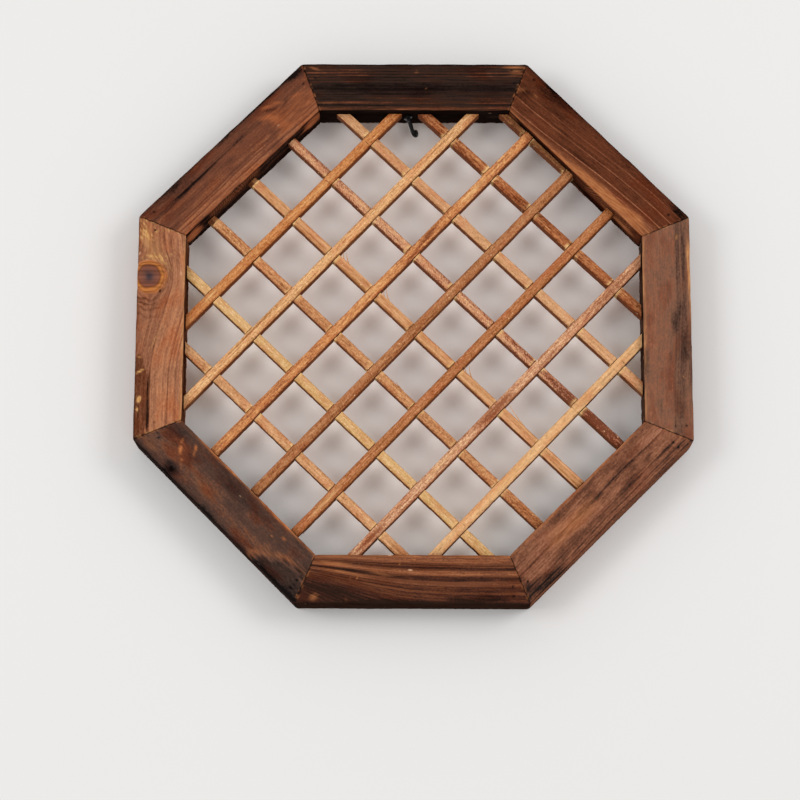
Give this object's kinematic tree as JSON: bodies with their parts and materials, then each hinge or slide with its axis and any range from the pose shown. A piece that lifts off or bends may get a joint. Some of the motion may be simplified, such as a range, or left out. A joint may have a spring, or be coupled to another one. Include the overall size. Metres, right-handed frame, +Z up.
{
  "type": "window grille",
  "caption": "Octagonal wall grille: mitred, flame-darkened softwood boards round an open diagonal lattice of thin half-lapped slats, with a small cup hook under the top board.",
  "frame": {"origin": "middle of the top board's flat back face, where the panel lies against the wall", "axes": "+X to the right as seen from the front, +Z up, +Y into the wall; the panel's front faces -Y"},
  "size_m": [0.335, 0.025, 0.335],
  "materials": {
    "charred_frame_wood": "flame-darkened and brushed softwood under a thin satin coat, with dark bands, char and red-brown wood between",
    "front_slat_wood": "sawn softwood, tan to mid brown, lightly oiled",
    "back_slat_wood": "sawn softwood, golden tan to dark red-brown, torn lightly at the laps",
    "blackened_steel": "blackened steel with a little worn brightness on the flange"
  },
  "bodies": {
    "root": {"board_top": "charred_frame_wood", "board_upper_right": "charred_frame_wood", "board_right": "charred_frame_wood", "board_lower_right": "charred_frame_wood", "board_bottom": "charred_frame_wood", "board_lower_left": "charred_frame_wood", "board_left": "charred_frame_wood", "board_upper_left": "charred_frame_wood", "slat_front_1": "front_slat_wood", "slat_front_2": "front_slat_wood", "slat_front_3": "front_slat_wood", "slat_front_4": "front_slat_wood", "slat_front_5": "front_slat_wood", "slat_front_6": "front_slat_wood", "slat_front_7": "front_slat_wood", "slat_back_1": "back_slat_wood", "slat_back_2": "back_slat_wood", "slat_back_3": "back_slat_wood", "slat_back_4": "back_slat_wood", "slat_back_5": "back_slat_wood", "slat_back_6": "back_slat_wood", "slat_back_7": "back_slat_wood", "slat_back_8": "back_slat_wood", "hanging_hook": "blackened_steel"}
  },
  "joints": []
}
